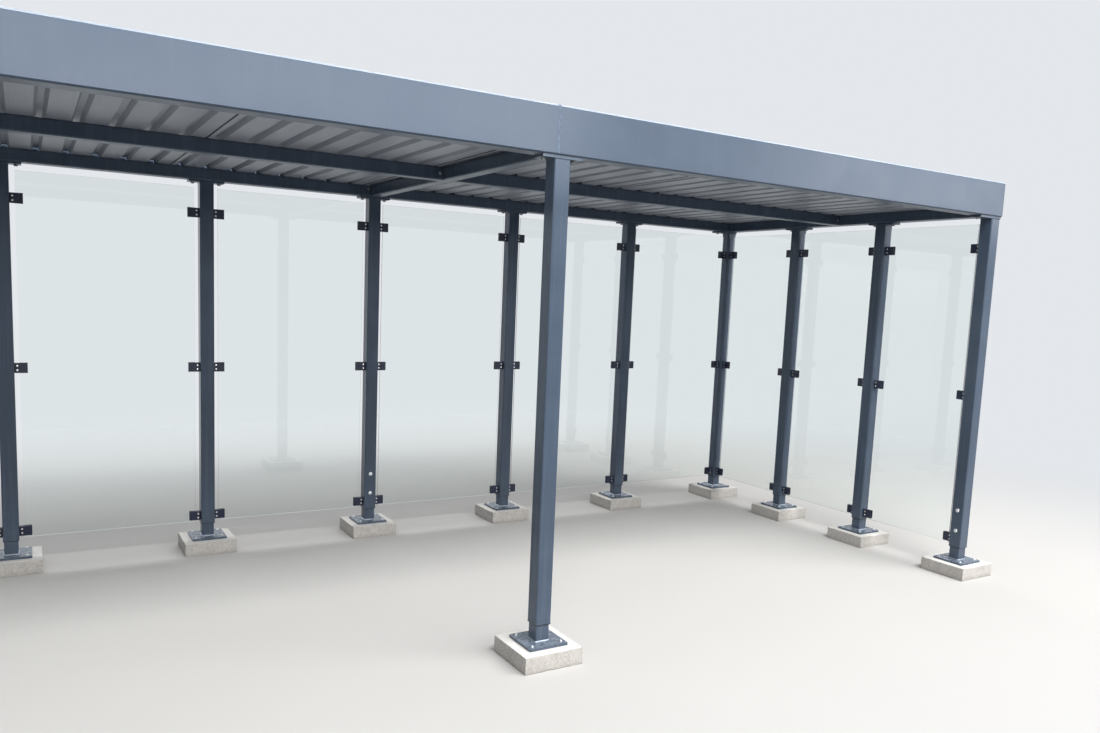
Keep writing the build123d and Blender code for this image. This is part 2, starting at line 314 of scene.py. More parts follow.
# %% Concrete: one layer of colour after another
cement = add_node(tree, "ShaderNodeMix", {"Factor": blotch, "A": "#B0ABA6", "B": "#CAC6C0"}, **in_colour)
layers = [
    ("#86817C", {"Value": tone, "From Min": 0.62, "From Max": 0.9, "To Max": 0.33}),
    ("#DAD6D0", {"Value": tone, "From Min": 0.38, "From Max": 0.1, "To Max": 0.35}),
    ("#87817B", {"Value": sand, "From Min": 0.5, "From Max": 0.72, "To Max": 0.35}),
    ("#E2DFDA", {"Value": slope, "From Min": 0.6, "From Max": 0.95, "To Max": 0.8}),
    ("#6A645C", {"Value": height, "From Min": 34 * mm, "From Max": 2 * mm, "To Max": 0.2}),
    # Dark in the pores: painted shade inside the air holes
    ("#5F5953", {"Value": pores, "From Min": 0.15, "From Max": 0.08, "To Max": 0.5}),
]
for colour, amount in layers:
    cement = laid_over(tree, cement, colour, amount)
feed = {"Value": pores, "From Min": 0.15, "From Max": 0.08}
pore = add_node(tree, "ShaderNodeMapRange", feed, **smoothly)
relief = in_turn(tree, maths, sand, ("MULTIPLY", 0.5), ("SUBTRACT", pore))
bump = add_node(tree, "ShaderNodeBump", {"Height": relief, "Distance": 0.9 * mm, "Strength": 0.8})
feed = {"Base Color": cement, "Roughness": 0.92, "Normal": bump}
shader = add_node(tree, "ShaderNodeBsdfPrincipled", feed)
add_node(tree, "ShaderNodeOutputMaterial", {"Surface": shader})
print("made", concrete.name, "in", len(layers), "layers")

# %% [markdown]
# ### Toughened glass
# Clear toughened glass is nearly colourless through its face, but seen from the edge the light
# has crossed a lot of it and comes out green. A volume that absorbs red does both at once, since
# it works on the length of the path through the glass. A thin uneven film of dirt dulls it in
# places.

# %% Glass
glass, tree, place = new_material("clear_toughened_glass")
feed = {"Vector": place, "Scale": 1 / (240 * mm), "Detail": 5, "Roughness": 0.6}
film = add_node(tree, "ShaderNodeTexNoise", feed)
feed = {"Value": film, "From Min": 0.45, "From Max": 0.8, "To Max": 0.03}
film = add_node(tree, "ShaderNodeMapRange", feed, **smoothly)
shader = add_node(tree, "ShaderNodeBsdfPrincipled", {
    "Base Color": "#FBFDFC", "Transmission Weight": 1.0, "IOR": 1.5, "Roughness": film,
})
absorb = add_node(tree, "ShaderNodeVolumeAbsorption", {"Color": "#9ADFCB", "Density": 6.0})
add_node(tree, "ShaderNodeOutputMaterial", {"Surface": shader, "Volume": absorb})
print("made", glass.name)

# %% [markdown]
# ### Small parts
# The glass clamps are cast zinc with a blue-black coat, a touch duller than the posts. Their
# pads are EPDM rubber. Bolts are zinc plated: bright, slightly uneven, with a faint cool tint.
# The bolts under the roof take a darker copy of the zinc, which is painted shade for the roof's
# shadow. Screws in the clamps are stainless steel. The welds at the feet are sprayed with zinc,
# and those at the heads are painted over with the posts' powder.

# %% Clamp coat and rubber
clamp_coat, tree, place = new_material("powder_coated_cast_zinc")
wear = add_node(tree, "ShaderNodeTexNoise", {"Vector": place, "Scale": 1 / (9 * mm), "Detail": 4})
feed = {"Value": wear, "From Min": 0.6, "From Max": 0.85}
wear = add_node(tree, "ShaderNodeMapRange", feed, **smoothly)
paint = add_node(tree, "ShaderNodeMix", {"Factor": wear, "A": "#161F38", "B": "#273149"}, **in_colour)
gloss = add_node(tree, "ShaderNodeMapRange", {"Value": wear, "To Min": 0.3, "To Max": 0.5})
skin = add_node(tree, "ShaderNodeTexNoise", {"Vector": place, "Scale": 1 / (2.5 * mm), "Detail": 3})
bump = add_node(tree, "ShaderNodeBump", {"Height": skin, "Distance": 0.08 * mm, "Strength": 0.5})
feed = {"Base Color": paint, "Roughness": gloss, "Normal": bump}
shader = add_node(tree, "ShaderNodeBsdfPrincipled", feed)
add_node(tree, "ShaderNodeOutputMaterial", {"Surface": shader})

# Black EPDM rubber for the clamp pads; the same black also stands as painted shade in the post collars,
# the lap strips and the rib blocks
rubber_and_shade_black, tree, place = new_material("epdm_rubber")
bloom = add_node(tree, "ShaderNodeTexNoise", {"Vector": place, "Scale": 1 / (5 * mm), "Detail": 3})
black = add_node(tree, "ShaderNodeMix", {"Factor": bloom, "A": "#0E0E0F", "B": "#1B1B1C"}, **in_colour)
shader = add_node(tree, "ShaderNodeBsdfPrincipled", {"Base Color": black, "Roughness": 0.75})
add_node(tree, "ShaderNodeOutputMaterial", {"Surface": shader})
print("made", clamp_coat.name, "and", rubber_and_shade_black.name)


# %% Plated and stainless steel
def bright_steel(name, dark, pale, gloss_low, gloss_high):
    """Bright metal with blotches between two tones and two roughnesses."""
    material, tree, place = new_material(name)
    feed = {"Vector": place, "Scale": 1 / (7 * mm), "Detail": 5, "Roughness": 0.6}
    cloud = add_node(tree, "ShaderNodeTexNoise", feed)
    metal = add_node(tree, "ShaderNodeMix", {"Factor": cloud, "A": dark, "B": pale}, **in_colour)
    feed = {"Value": cloud, "From Min": 0.3, "From Max": 0.7, "To Min": gloss_low, "To Max": gloss_high}
    gloss = add_node(tree, "ShaderNodeMapRange", feed, **smoothly)
    feed = {"Base Color": metal, "Roughness": gloss, "Metallic": 1.0}
    shader = add_node(tree, "ShaderNodeBsdfPrincipled", feed)
    add_node(tree, "ShaderNodeOutputMaterial", {"Surface": shader})
    return material


zinc = bright_steel("zinc_plated_steel", "#CBCFD3", "#EDEFF1", 0.28, 0.45)
# A darker copy of the zinc: painted shade for the bolts under the roof
shaded_zinc = bright_steel("passivated_zinc_plate", "#7E8183", "#A5A8A9", 0.4, 0.55)
zinc_spray = bright_steel("zinc_sprayed_weld", "#8C97A3", "#BAC3CC", 0.4, 0.6)
stainless = bright_steel("stainless_steel", "#CFD1D3", "#F0F1F2", 0.2, 0.35)
print("made", zinc.name, "and", stainless.name)

# %% [markdown]
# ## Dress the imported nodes
# Posts, feet, beams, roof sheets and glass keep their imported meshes: their sizes and rounded
# corners are right already, so a good finish is all they need. Each takes the material that its
# name calls for.


# %% Give each node its finish
def finish_for(node):
    """Choose a material and a slot from a node's name."""
    if "concrete" in node:
        return concrete, "concrete"
    if "clamps" in node:
        return clamp_coat, "clamp_black"
    if "glass" in node:
        return glass, "clear_glass"
    if node.startswith("roof_sheet"):
        return coil_coat, "roof_sheet"
    if "fascia" in node:
        return coated_sheet, "anthracite_steel"
    return coated_tube, "anthracite_steel"


for node, obj in nodes.items():
    material, slot = finish_for(node)
    obj.data.materials.clear()
    obj.data.materials.append(material)
print("dressed", len(nodes), "nodes")

# %% [markdown]
# ## Making pieces
# A few functions carry the rest of the lesson. The first turns a finished mesh into a piece of
# the shelter. The second runs a Geometry Nodes tree on a start mesh and brings back a plain
# mesh. The third writes the points that such a tree puts its copies on, with a turn for each.


# %% Piece, tree and points
def add_piece(name, mesh, material, replaces=()):
    """Add a finished mesh to the shelter as a piece that rides on its one body."""
    mesh.name = name
    obj = bpy.data.objects.new(name, mesh)
    bpy.context.scene.collection.objects.link(obj)
    if not mesh.materials:
        mesh.materials.append(material)
    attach(obj, "root")
    if replaces:
        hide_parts(*replaces)
    mesh.calc_loop_triangles()
    print(f"{name}: {len(mesh.loop_triangles)} triangles")


def run_tree(tree, start, values):
    """Run a node tree on a start mesh with named inputs, and return the result as a plain mesh."""
    holder = bpy.data.objects.new(tree.name + "_holder", start)
    bpy.context.scene.collection.objects.link(holder)
    modifier = holder.modifiers.new(tree.name, "NODES")
    modifier.node_group = tree
    for item in tree.interface.items_tree:
        if item.item_type == "SOCKET" and item.in_out == "INPUT" and item.name in values:
            modifier[item.identifier] = values[item.name]
    evaluated = holder.evaluated_get(bpy.context.evaluated_depsgraph_get())
    mesh = bpy.data.meshes.new_from_object(evaluated)
    holder.modifiers.remove(modifier)
    bpy.data.objects.remove(holder)
    return mesh


def points(places, turns=None):
    """A mesh of bare points, each with a turn as X, Y and Z angles."""
    mesh = bpy.data.meshes.new("points")
    mesh.from_pydata(places, [], [])
    turn = mesh.attributes.new("turn", "FLOAT_VECTOR", "POINT")
    for i, angles in enumerate(turns or [(0, 0, 0)] * len(places)):
        turn.data[i].vector = angles
    return mesh


# %% [markdown]
# ## Shells from rings
# Most shapes here are a row of rings, each joined to the next by a band of faces: a bolt is a
# stack of circles and hexagons, a fascia is one outline at its two ends, and a rubber collar is a
# row of squares that comes back to where it began. So one function makes them all.


# %% Shell, joined mesh and shape to copy
def shell(rings, round_again=False, edge_radius=0.0):
    """Join rings of points one to the next. The ends are closed, or joined to each other."""
    mesh = bmesh.new()
    loops = [[mesh.verts.new(point) for point in ring] for ring in rings]
    if round_again:
        loops.append(loops[0])
    else:
        mesh.faces.new(loops[0][::-1])
        mesh.faces.new(loops[-1])
    for first, second in zip(loops, loops[1:]):
        for i in range(len(first)):
            j = (i + 1) % len(first)
            mesh.faces.new((first[i], first[j], second[j], second[i]))
    if edge_radius:
        edges = mesh.edges[:]
        bmesh.ops.bevel(mesh, geom=edges, offset=edge_radius, segments=3, affect="EDGES", profile=0.5)
    bmesh.ops.recalc_face_normals(mesh, faces=mesh.faces)
    return mesh


def joined(name, parts):
    """Join several parts into one mesh."""
    whole = bmesh.new()
    for part in parts:
        piece = bpy.data.meshes.new("part")
        part.to_mesh(piece)
        part.free()
        whole.from_mesh(piece)
        bpy.data.meshes.remove(piece)
    together = bpy.data.meshes.new(name)
    whole.to_mesh(together)
    whole.free()
    return together


def to_copy(name, *parts):
    """An object, not in the scene, that holds the parts of a shape for a tree to copy."""
    mesh = joined(name, parts)
    print(name, len(mesh.polygons), "faces")
    return bpy.data.objects.new(name, mesh)


# %% [markdown]
# ## The tree that sets out fixings
# Bolts, screws and clamps all repeat, so one Geometry Nodes tree serves them. It takes a shape,
# puts a copy on every point, turns it by the point's own turn, and then spins it about its own
# axis by a random angle, since no two nuts stop at the same angle. The seed is fixed, so the
# result is the same in every run. The tree ends in Realize Instances and Set Material. A small
# function runs it and makes the result a piece, and a table gives the turn that makes a fixing
# stick out of a wall that looks along X or Y.


# %% Rows of fixings
def tree_with_inputs(name, inputs):
    """Start a Geometry Nodes tree with a geometry input and the named inputs given."""
    tree = bpy.data.node_groups.new(name, "GeometryNodeTree")
    tree.interface.new_socket("Geometry", in_out="INPUT", socket_type="NodeSocketGeometry")
    for label, (kind, default) in inputs.items():
        socket = tree.interface.new_socket(label, in_out="INPUT", socket_type="NodeSocket" + kind)
        if default is not None:
            socket.default_value = default
    tree.interface.new_socket("Geometry", in_out="OUTPUT", socket_type="NodeSocketGeometry")
    return tree, add_node(tree, "NodeGroupInput").outputs


rows, given = tree_with_inputs("rows_of_fixings", {
    "Shape": ("Object", None),
    "Largest Spin": ("Float", 0.0),
    "Seed": ("Int", 1),
    "Material": ("Material", None),
})
shape = add_node(rows, "GeometryNodeObjectInfo", {"Object": given["Shape"]}).outputs["Geometry"]
feed = {"Min": 0.0, "Max": given["Largest Spin"], "Seed": given["Seed"]}
spin = add_node(rows, "FunctionNodeRandomValue", feed)
spin_turn = add_node(rows, "FunctionNodeAxisAngleToRotation", {"Axis": (0, 0, 1), "Angle": spin})
own_turn = add_node(rows, "GeometryNodeInputNamedAttribute", {"Name": "turn"}, data_type="FLOAT_VECTOR")
own_turn = add_node(rows, "FunctionNodeEulerToRotation", {"Euler": own_turn})
feed = {"Rotation": own_turn, "Rotate By": spin_turn}
both = add_node(rows, "FunctionNodeRotateRotation", feed, rotation_space="LOCAL")
feed = {"Points": given["Geometry"], "Instance": shape, "Rotation": both}
copies = add_node(rows, "GeometryNodeInstanceOnPoints", feed)
real = add_node(rows, "GeometryNodeRealizeInstances", {"Geometry": copies})
painted = add_node(rows, "GeometryNodeSetMaterial", {"Geometry": real, "Material": given["Material"]})
add_node(rows, "NodeGroupOutput", {"Geometry": painted})
print("tree", rows.name, "nodes", len(rows.nodes))

# %% Set out a row
quarter = math.pi / 2
half_turn = math.pi
full_turn = 2 * math.pi
turn_for = {
    (0, -1): (quarter, 0, 0),
    (0, 1): (-quarter, 0, 0),
    (1, 0): (0, quarter, 0),
    (-1, 0): (0, -quarter, 0),
}


def set_out(name, shape, places, turns, material, seed=None, replaces=()):
    """Copy a shape to every place as one piece. A seed spins each copy by its own angle."""
    values = {"Shape": shape, "Material": material}
    if seed is not None:
        values.update({"Largest Spin": full_turn, "Seed": seed})
    add_piece(name, run_tree(rows, points(places, turns), values), material, replaces)


# %% [markdown]
# ## Turned and hexagonal shapes
# A bolt is a stack of outlines: a round washer, a six-sided head with its corners cut off, a
# round stud. A ring can be round or hexagonal with the same number of points, which lets a round
# chamfer meet a hexagon without a seam. Shapes that repeat often get fewer points a ring.


# %% Shapes from rings
hexagon = 6
circle = 0


def ring_radius(across, sides, angle):
    """Radius of a round or six-sided outline at an angle. across is measured over the flats."""
    if sides == circle:
        return across / 2
    sector = 2 * math.pi / sides
    return across / 2 / math.cos((angle % sector) - sector / 2)


def ringed_shape(name, rings, ring_points=18):
    """A closed stack of rings from the bottom up. A ring is (across, sides, height) in mm."""
    angles = [2 * math.pi * i / ring_points for i in range(ring_points)]
    stack = []
    for across, sides, height in rings:
        radii = [ring_radius(across * mm, sides, angle) for angle in angles]
        stack.append([(r * math.cos(a), r * math.sin(a), height * mm) for r, a in zip(radii, angles)])
    return to_copy(name, shell(stack))


# M8 anchor: washer, thin nut with its corners cut, and the end of the stud
anchor_shape = ringed_shape("anchor_shape", [
    (16, circle, 0), (16, circle, 1.2), (15.2, circle, 1.6), (12.4, circle, 1.6), (13, hexagon, 2.2),
    (13, hexagon, 5.0), (12, circle, 5.6), (8, circle, 5.6), (8, circle, 7.2), (6.8, circle, 8.0),
])

# M12 hexagon bolt head on its washer
bolt_shape = ringed_shape("bolt_shape", [
    (24, circle, 0), (24, circle, 2.5), (17.6, circle, 2.5),
    (18.4, hexagon, 3.4), (18.4, hexagon, 8.6), (16.6, circle, 10.0),
])

# Wide domed head of a carriage bolt, which locks a post to its foot
dome_shape = ringed_shape("dome_shape", [
    (25.5, circle, 0), (25.5, circle, 0.8), (24.0, circle, 2.2),
    (20.0, circle, 3.8), (14.0, circle, 5.0), (7.0, circle, 5.7),
])

# Button head with a hexagon socket, where beams meet
button_shape = ringed_shape("button_shape", [
    (21, circle, 0), (21, circle, 1.4), (17.5, circle, 1.4), (17.0, circle, 3.2),
    (13.5, circle, 5.6), (10.0, circle, 6.4), (7.0, hexagon, 6.2), (6.6, hexagon, 2.6),
])

# Low head of a clamp screw with its socket
screw_shape = ringed_shape("screw_shape", [
    (11, circle, -1), (11, circle, 1.2), (9.4, circle, 2.3), (4.6, hexagon, 2.6), (4.0, hexagon, 0.4),
], ring_points=12)

# Roofing screw: sealing washer and small hexagon head with a flange
roof_screw_shape = ringed_shape("roof_screw_shape", [
    (15, circle, 0), (16, circle, 1.2), (10.5, circle, 3.0),
    (8.2, hexagon, 3.8), (8.2, hexagon, 7.4), (7.2, circle, 8.0),
], ring_points=12)

# %% [markdown]
# ## Anchors, bolts and screws
# Each base plate is held down by four anchors, and each post's head plate is bolted up into the
# beam with two bolts. Two domed bolts lock each post to the tube inside it. They sit on the
# inner face of the middle post at the back and on the facing sides of the front posts. On the
# other posts they are on the outside, where they can't be seen from the front.

# %% Anchors
anchor_spacing = 150 * mm
anchor_places = [
    (x + sx * anchor_spacing / 2, y + sy * anchor_spacing / 2, plate_top)
    for x, y in all_posts
    for sx in (-1, 1)
    for sy in (-1, 1)
]
set_out("anchor_nuts", anchor_shape, anchor_places, None, zinc, seed=3)

# %% Bolts under the head plates
plate_bolt_spacing = 150 * mm
corner_plate_shift = 55 * mm
head_bolts = []
for x, y in front_posts + rear_posts:
    shift = -math.copysign(corner_plate_shift, x) if abs(abs(x) - half_length) < mm else 0
    head_bolts += [(x + shift + s * plate_bolt_spacing / 2, y, clear_height) for s in (-1, 1)]
for x, y in side_posts:
    head_bolts += [(x, y + s * plate_bolt_spacing / 2, clear_height) for s in (-1, 1)]
upside_down = [(half_turn, 0, 0)] * len(head_bolts)
# The darker zinc here is painted shade under the roof
set_out("head_plate_bolts", bolt_shape, head_bolts, upside_down, shaded_zinc, seed=5)

# %% Bolts that lock posts to their feet
lock_bolt_heights = (278 * mm, 410 * mm)
lock_places, lock_turns = [], []
for x, y in all_posts:
    at_end = abs(abs(x) - half_length) < mm
    if y == -half_depth:
        out = (-math.copysign(1, x), 0) if at_end else (0, 1)
    elif y == half_depth:
        out = (0, -1) if abs(x) < mm else (0, 1)
    else:
        out = (math.copysign(1, x), 0)
    for height in lock_bolt_heights:
        lock_places.append((x + out[0] * half_post, y + out[1] * half_post, height))
        lock_turns.append(turn_for[out])
set_out("post_lock_bolts", dome_shape, lock_places, lock_turns, zinc, seed=7)

# %% Bolts where purlins and beams meet the middle rafter
half_purlin = (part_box("purlin_left")[1].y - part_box("purlin_left")[0].y) / 2
half_rafter = (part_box("middle_rafter")[1].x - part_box("middle_rafter")[0].x) / 2
bolt_from_end = 20 * mm
bolt_from_rafter = 14 * mm
beam_middle = (beam_bottom + beam_top) / 2
joint_places, joint_turns = [], []
for node in ("purlin_left", "purlin_right"):
    low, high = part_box(node)
    for x in (low.x + bolt_from_end, high.x - bolt_from_end):
        for side in (-1, 1):
            joint_places.append((x, side * half_purlin, beam_middle))
            joint_turns.append(turn_for[0, side])
for side in (-1, 1):
    x = side * (half_rafter + bolt_from_rafter)
    joint_places.append((x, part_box("rear_beam_left")[0].y, beam_middle + bolt_from_rafter))
    joint_turns.append(turn_for[0, -1])
# The darker zinc here is painted shade under the roof
set_out("beam_joint_bolts", button_shape, joint_places, joint_turns, shaded_zinc, seed=9)

# %% [markdown]
# ## Weld beads
# Every foot tube is welded to its base plate, and every post to its head plate. A weld bead
# follows the tube's outline, so it is a curve swept with a small round profile: a square with
# rounded corners, resampled every few millimetres, and then pushed in and out by noise, which
# gives the ripples a welder leaves. The sweep is made once and copied to every joint.

# %% Weld tree
weld, given = tree_with_inputs("weld_bead", {
    "Tube Size": ("Float", foot_tube),
    "Corner Radius": ("Float", 6 * mm),
    "Bead Size": ("Float", 5 * mm),
    "Ripple Length": ("Float", 4 * mm),
    "Ripple Height": ("Float", 1.6 * mm),
    "Seed": ("Float", 2.0),
    "Material": ("Material", None),
})
feed = {"Width": given["Tube Size"], "Height": given["Tube Size"]}
outline = add_node(weld, "GeometryNodeCurvePrimitiveQuadrilateral", feed)
feed = {"Curve": outline, "Count": 4, "Radius": given["Corner Radius"]}
rounded = add_node(weld, "GeometryNodeFilletCurve", feed, mode="POLY")
feed = {"Curve": rounded, "Length": given["Ripple Length"]}
stepped = add_node(weld, "GeometryNodeResampleCurve", feed, mode="LENGTH")
feed = {"Resolution": 6, "Radius": given["Bead Size"]}
profile = add_node(weld, "GeometryNodeCurvePrimitiveCircle", feed)
swept = add_node(weld, "GeometryNodeCurveToMesh", {"Curve": stepped, "Profile Curve": profile})
copies = add_node(weld, "GeometryNodeInstanceOnPoints", {"Points": given["Geometry"], "Instance": swept})
real = add_node(weld, "GeometryNodeRealizeInstances", {"Geometry": copies})
feed = {"W": given["Seed"], "Scale": 1 / (7 * mm), "Detail": 1.0}
ripple = add_node(weld, "ShaderNodeTexNoise", feed, noise_dimensions="4D")
lift = in_turn(weld, maths, ripple, ("SUBTRACT", 0.5), ("MULTIPLY", given["Ripple Height"]))
normal = add_node(weld, "GeometryNodeInputNormal")
push = add_node(weld, "ShaderNodeVectorMath", {0: normal, "Scale": lift}, operation="SCALE")
rippled = add_node(weld, "GeometryNodeSetPosition", {"Geometry": real, "Offset": push})
smooth = add_node(weld, "GeometryNodeSetShadeSmooth", {"Geometry": rippled})
painted = add_node(weld, "GeometryNodeSetMaterial", {"Geometry": smooth, "Material": given["Material"]})
add_node(weld, "NodeGroupOutput", {"Geometry": painted})

# %% Welds at the feet and the heads
foot_welds = run_tree(weld, points([(x, y, plate_top) for x, y in all_posts]), {
    "Tube Size": foot_tube, "Material": zinc_spray,
})
add_piece("foot_weld_beads", foot_welds, zinc_spray)
head_welds = run_tree(weld, points([(x, y, clear_height) for x, y in all_posts]), {
    "Tube Size": post_size, "Corner Radius": 7 * mm, "Bead Size": 3.5 * mm, "Material": coated_tube,
})
add_piece("head_weld_beads", head_welds, coated_tube)

# %% [markdown]
# ## Collars
# A post slides over the tube of its foot, and a black ring of rubber closes the step between the
# two under the post's end. Its black is painted shade: it draws the dark line of shadow round the
# foot under the post's end. It is a square tube: a row of square rings that comes round again,
# which the tree of fixings copies to every post.

# %% Black collar under each post, for the shadow line
post_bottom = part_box("front_post_2")[0].z
collar_height = 3.5 * mm
collar_bevel = 1.5 * mm
collar_inset = 0.4 * mm
collar_outside = half_post - collar_inset
collar_inside = foot_tube / 2
collar_bottom = post_bottom - collar_height
square = [(-1, -1), (1, -1), (1, 1), (-1, 1)]
collar_shape = to_copy("collar_shape", shell([
    [(sx * reach, sy * reach, height) for sx, sy in square]
    for reach, height in (
        (collar_inside, collar_bottom),
        (collar_outside - collar_bevel, collar_bottom),
        (collar_outside, collar_bottom + collar_bevel),
        (collar_outside, post_bottom),
        (collar_inside, post_bottom),
    )
], round_again=True))
under_posts = [(x, y, 0) for x, y in all_posts]
# The black collars are painted shade: the dark line under each post's end
set_out("post_end_collars", collar_shape, under_posts, None, rubber_and_shade_black)

# %% [markdown]
# ## Concrete blocks
# A block is a box, but a cast one has softened edges, a few chips and a skin that is never quite
# flat. A plain box with a bevel would look like plastic. Here one subdivided cube is copied to
# each block's place. First its points are crowded towards the edges with a sine, so that there
# is detail where the shape needs it. Then each point is pulled onto a box with round edges: clamp
# it to a smaller box, and go out from there by the edge radius.

# %% Block tree: a box with soft edges
block, given = tree_with_inputs("cast_block", {
    "Half Size": ("Vector", (half_block, half_block, block_top / 2)),
    "Edge Radius": ("Float", 2.5 * mm),
    "Skin Depth": ("Float", 0.8 * mm),
    "Chip Depth": ("Float", 7 * mm),
    "Chip Reach": ("Float", 9 * mm),
    "Seed": ("Float", 4.0),
    "Material": ("Material", None),
})
rows_across, rows_up = 49, 17
feed = {"Size": (2, 2, 2), "Vertices X": rows_across, "Vertices Y": rows_across, "Vertices Z": rows_up}
cube = add_node(block, "GeometryNodeMeshCube", feed)
start = add_node(block, "GeometryNodeInputPosition")
half_size = given["Half Size"]
radius, reach = [
    add_node(block, "ShaderNodeCombineXYZ", {axis: given[label] for axis in "XYZ"})
    for label in ("Edge Radius", "Chip Reach")
]
crowded = in_turn(block, vector_maths, start, ("MULTIPLY", (quarter,) * 3), ("SINE",))
on_box = in_turn(block, vector_maths, crowded, ("MULTIPLY", half_size))
core = in_turn(block, vector_maths, half_size, ("SUBTRACT", radius))
far_core = in_turn(block, vector_maths, core, ("MULTIPLY", (-1, -1, -1)))
inner = in_turn(block, vector_maths, on_box, ("MINIMUM", core), ("MAXIMUM", far_core))
outwards = in_turn(block, vector_maths, on_box, ("SUBTRACT", inner), ("NORMALIZE",), ("MULTIPLY", radius))
soft_box = in_turn(block, vector_maths, inner, ("ADD", outwards))
print("tree", block.name, "has", len(block.nodes), "nodes so far")

# %% [markdown]
# Last, noise takes a little off the skin, and more off the edges where a second noise is strong.
# For that each point needs to know how near an edge it is: 0 in the middle of a face, 1 on an
# edge, 2 at a corner. The tree stores that before it moves any point, because a field is worked
# out anew from wherever the points then are. Noise only takes away, so the block never grows
# past its real size, and its underside is held flat on the ground.

# %% Block tree: chips and skin
ones = (1, 1, 1)
depth = in_turn(block, vector_maths, soft_box, ("ABSOLUTE",), ("SUBTRACT", half_size))
fading = in_turn(block, vector_maths, depth, ("DIVIDE", reach), ("ADD", ones), ("MAXIMUM", (0, 0, 0)))
total = in_turn(block, vector_maths, fading, ("DOT_PRODUCT", ones))
nearness = in_turn(block, maths, total, ("SUBTRACT", 1.0))
feed = {"Geometry": cube, "Name": "edge_nearness", "Value": nearness}
marked = add_node(block, "GeometryNodeStoreNamedAttribute", feed)
shaped = add_node(block, "GeometryNodeSetPosition", {"Geometry": marked, "Position": soft_box})
copies = add_node(block, "GeometryNodeInstanceOnPoints", {"Points": given["Geometry"], "Instance": shaped})
real = add_node(block, "GeometryNodeRealizeInstances", {"Geometry": copies})

place = add_node(block, "GeometryNodeInputPosition")
feed = {"Vector": place, "W": given["Seed"], "Scale": 1 / (12 * mm), "Detail": 3.0}
skin = add_node(block, "ShaderNodeTexNoise", feed, noise_dimensions="4D")
skin = in_turn(block, maths, skin, ("MULTIPLY", given["Skin Depth"]))
other_seed = in_turn(block, maths, given["Seed"], ("ADD", 5.0))
feed = {"Vector": place, "W": other_seed, "Scale": 1 / (16 * mm), "Detail": 3.0}
chip = add_node(block, "ShaderNodeTexNoise", feed, noise_dimensions="4D")
chip = add_node(block, "ShaderNodeMapRange", {"Value": chip, "From Min": 0.56, "From Max": 0.74})
edge = add_node(block, "GeometryNodeInputNamedAttribute", {"Name": "edge_nearness"})
away = in_turn(block, maths, chip, ("MULTIPLY", edge), ("MULTIPLY_ADD", given["Chip Depth"], skin))
inwards = in_turn(block, maths, away, ("MULTIPLY", -1.0))
normal = add_node(block, "GeometryNodeInputNormal")
push = add_node(block, "ShaderNodeVectorMath", {0: normal, "Scale": inwards}, operation="SCALE")
above_ground = (-100.0, -100.0, 0.0)
moved = in_turn(block, vector_maths, place, ("ADD", push), ("MAXIMUM", above_ground))
worn = add_node(block, "GeometryNodeSetPosition", {"Geometry": real, "Position": moved})
smooth = add_node(block, "GeometryNodeSetShadeSmooth", {"Geometry": worn})
painted = add_node(block, "GeometryNodeSetMaterial", {"Geometry": smooth, "Material": given["Material"]})
add_node(block, "NodeGroupOutput", {"Geometry": painted})

# %% Three rows of blocks
block_rows = {"front": (front_posts, 4.0), "rear": (rear_posts, 11.0), "side": (side_posts, 23.0)}
for row, (posts, seed) in block_rows.items():
    middles = points([(x, y, block_top / 2) for x, y in posts])
    made = run_tree(block, middles, {"Seed": seed, "Material": concrete})
    add_piece(f"{row}_cast_blocks", made, concrete, [f"{row}_concrete_blocks"])

# %% [markdown]
# ## Glass clamps
# A clamp is two castings that close on the glass over rubber pads, drawn together by two screws
# beside the post. Seen from above each half is an L: thick by the post, thin over the glass. The
# L is drawn once as an outline, pushed up to the clamp's height and given small round edges.
# The halves stop short of each other, so the parting line shows. The castings are one shape and
# the pads another, which the tree of fixings sets out at three heights on every glass edge.

# %% Clamp sizes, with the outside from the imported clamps
clamp_low, clamp_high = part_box("rear_glass_clamps")
clamp_height = 56 * mm
clamp_length = 63 * mm
glass_gap = 27 * mm
glass_half = 4 * mm
parting = 0.6 * mm
pad = 1.9 * mm
lip = 0.8 * mm
edge_radius = 1.8 * mm
half_clamp = (clamp_high.y - clamp_low.y) / 2
slot_half = glass_half + pad
clamp_heights = spread(clamp_low.z + clamp_height / 2, clamp_high.z - clamp_height / 2, 3)
print("clamp heights", [round(h, 4) for h in clamp_heights])


# %% An outline on both sides of the glass
def both_sides(outline, half_height, edge_radius=0.0):
    """Push a flat outline up, and its mirror image too. They reach half_height above and below."""
    halves = []
    for corners in (outline, [(x, -y) for x, y in reversed(outline)]):
        rings = [[(x, y, z) for x, y in corners] for z in (-half_height, half_height)]
        halves.append(shell(rings, edge_radius=edge_radius))
    return halves


# %% One clamp and its pads
half_height = clamp_height / 2
casting = [
    (0, -half_clamp),
    (clamp_length, -half_clamp),
    (clamp_length, -slot_half),
    (glass_gap, -slot_half),
    (glass_gap, -parting),
    (0, -parting),
]
clamp_body = to_copy("clamp_body", *both_sides(casting, half_height, edge_radius))

# Rubber fills the slot on both sides of the glass and shows as a thin lip at its mouth
rubber_strip = [
    (glass_gap, glass_half),
    (clamp_length + lip, glass_half),
    (clamp_length + lip, slot_half),
    (glass_gap, slot_half),
]
clamp_pads = to_copy("clamp_pads", *both_sides(rubber_strip, half_height + lip))

